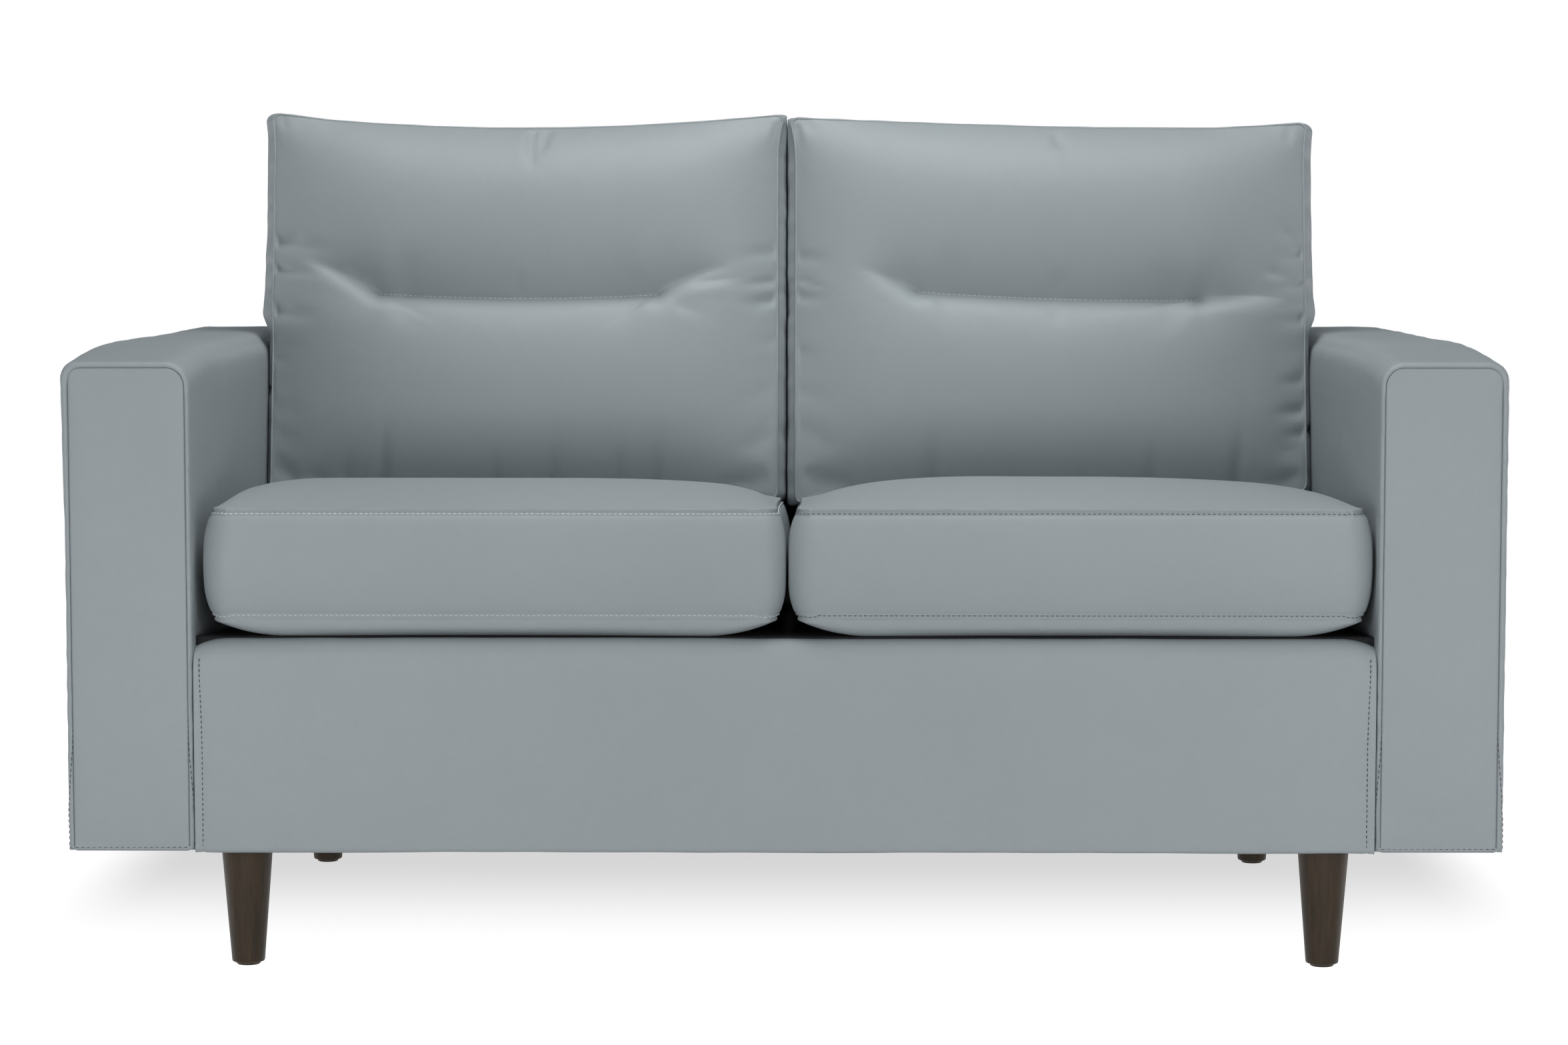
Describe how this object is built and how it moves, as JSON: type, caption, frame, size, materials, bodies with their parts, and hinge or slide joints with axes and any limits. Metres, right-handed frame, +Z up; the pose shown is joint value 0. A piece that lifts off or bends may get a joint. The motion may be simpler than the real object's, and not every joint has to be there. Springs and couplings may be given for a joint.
{
  "type": "two-seat sofa",
  "caption": "Upholstered two-seat sofa with straight box arms, loose boxed seat cushions, loose channel-sewn back cushions, a tall base panel and round tapered wooden legs",
  "frame": {"origin": "on the floor, at the middle of the footprint between the arms' fronts and the rear cover", "axes": "+X runs across the sofa to the right as it is seen from the front, +Y runs from the front to the back, +Z is up; a person on the sofa faces -Y"},
  "size_m": [1.52, 0.86, 0.9308],
  "materials": {
    "cover": "satin",
    "foam": "matte",
    "felt": "matte",
    "lining": "matte",
    "webbing": "matte",
    "zip": "matte",
    "leg_wood": "satin",
    "frame_wood": "matte",
    "steel": "satin"
  },
  "bodies": {
    "frame": {"arm_cover_left": "cover", "arm_cover_right": "cover", "arm_front_cover_left": "cover", "arm_front_cover_right": "cover", "base_front_cover": "cover", "back_inner_cover": "cover", "back_outer_cover": "cover", "arm_top_pad_left": "foam", "arm_top_pad_right": "foam", "base_front_pad": "foam", "back_pad": "foam", "seat_insulator_pad": "felt", "seat_deck_cloth": "lining", "dust_cover": "lining", "back_webbing": "webbing", "front_leg_left": "leg_wood", "front_leg_right": "leg_wood", "rear_leg_left": "leg_wood", "rear_leg_right": "leg_wood", "front_rail": "frame_wood", "rear_rail": "frame_wood", "side_rail_left": "frame_wood", "side_rail_right": "frame_wood", "centre_rail": "frame_wood", "leg_board_left": "frame_wood", "leg_board_right": "frame_wood", "arm_front_post_left": "frame_wood", "arm_front_post_right": "frame_wood", "arm_rear_post_left": "frame_wood", "arm_rear_post_right": "frame_wood", "arm_top_rail_left": "frame_wood", "arm_top_rail_right": "frame_wood", "arm_inner_board_left": "frame_wood", "arm_inner_board_right": "frame_wood", "back_upright_left": "frame_wood", "back_upright_centre": "frame_wood", "back_upright_right": "frame_wood", "back_top_rail": "frame_wood", "back_bottom_rail": "frame_wood", "seat_spring_set": "steel", "front_leg_bolt_left": "steel", "front_leg_bolt_right": "steel", "rear_leg_bolt_left": "steel", "rear_leg_bolt_right": "steel", "arm_bolt_left_front": "steel", "arm_bolt_left_rear": "steel", "arm_bolt_right_front": "steel", "arm_bolt_right_rear": "steel"},
    "seat_cushion_left": {"seat_cushion_cover_left": "cover", "seat_cushion_core_left": "foam", "seat_cushion_zip_left": "zip"},
    "seat_cushion_right": {"seat_cushion_cover_right": "cover", "seat_cushion_core_right": "foam", "seat_cushion_zip_right": "zip"},
    "back_cushion_left": {"back_cushion_cover_left": "cover", "back_cushion_core_left": "foam", "back_cushion_zip_left": "zip"},
    "back_cushion_right": {"back_cushion_cover_right": "cover", "back_cushion_core_right": "foam", "back_cushion_zip_right": "zip"}
  },
  "joints": [
    {"name": "seat_cushion_left_slide", "type": "slide", "parent": "frame", "child": "seat_cushion_left", "axis": [0, -0.9986, 0.0523], "range_m": [0, 0.7]},
    {"name": "seat_cushion_right_slide", "type": "slide", "parent": "frame", "child": "seat_cushion_right", "axis": [0, -0.9986, 0.0523], "range_m": [0, 0.7]},
    {"name": "back_cushion_left_slide", "type": "slide", "parent": "frame", "child": "back_cushion_left", "axis": [0, 0.1908, 0.9816], "range_m": [0, 0.5]},
    {"name": "back_cushion_right_slide", "type": "slide", "parent": "frame", "child": "back_cushion_right", "axis": [0, 0.1908, 0.9816], "range_m": [0, 0.5]}
  ]
}
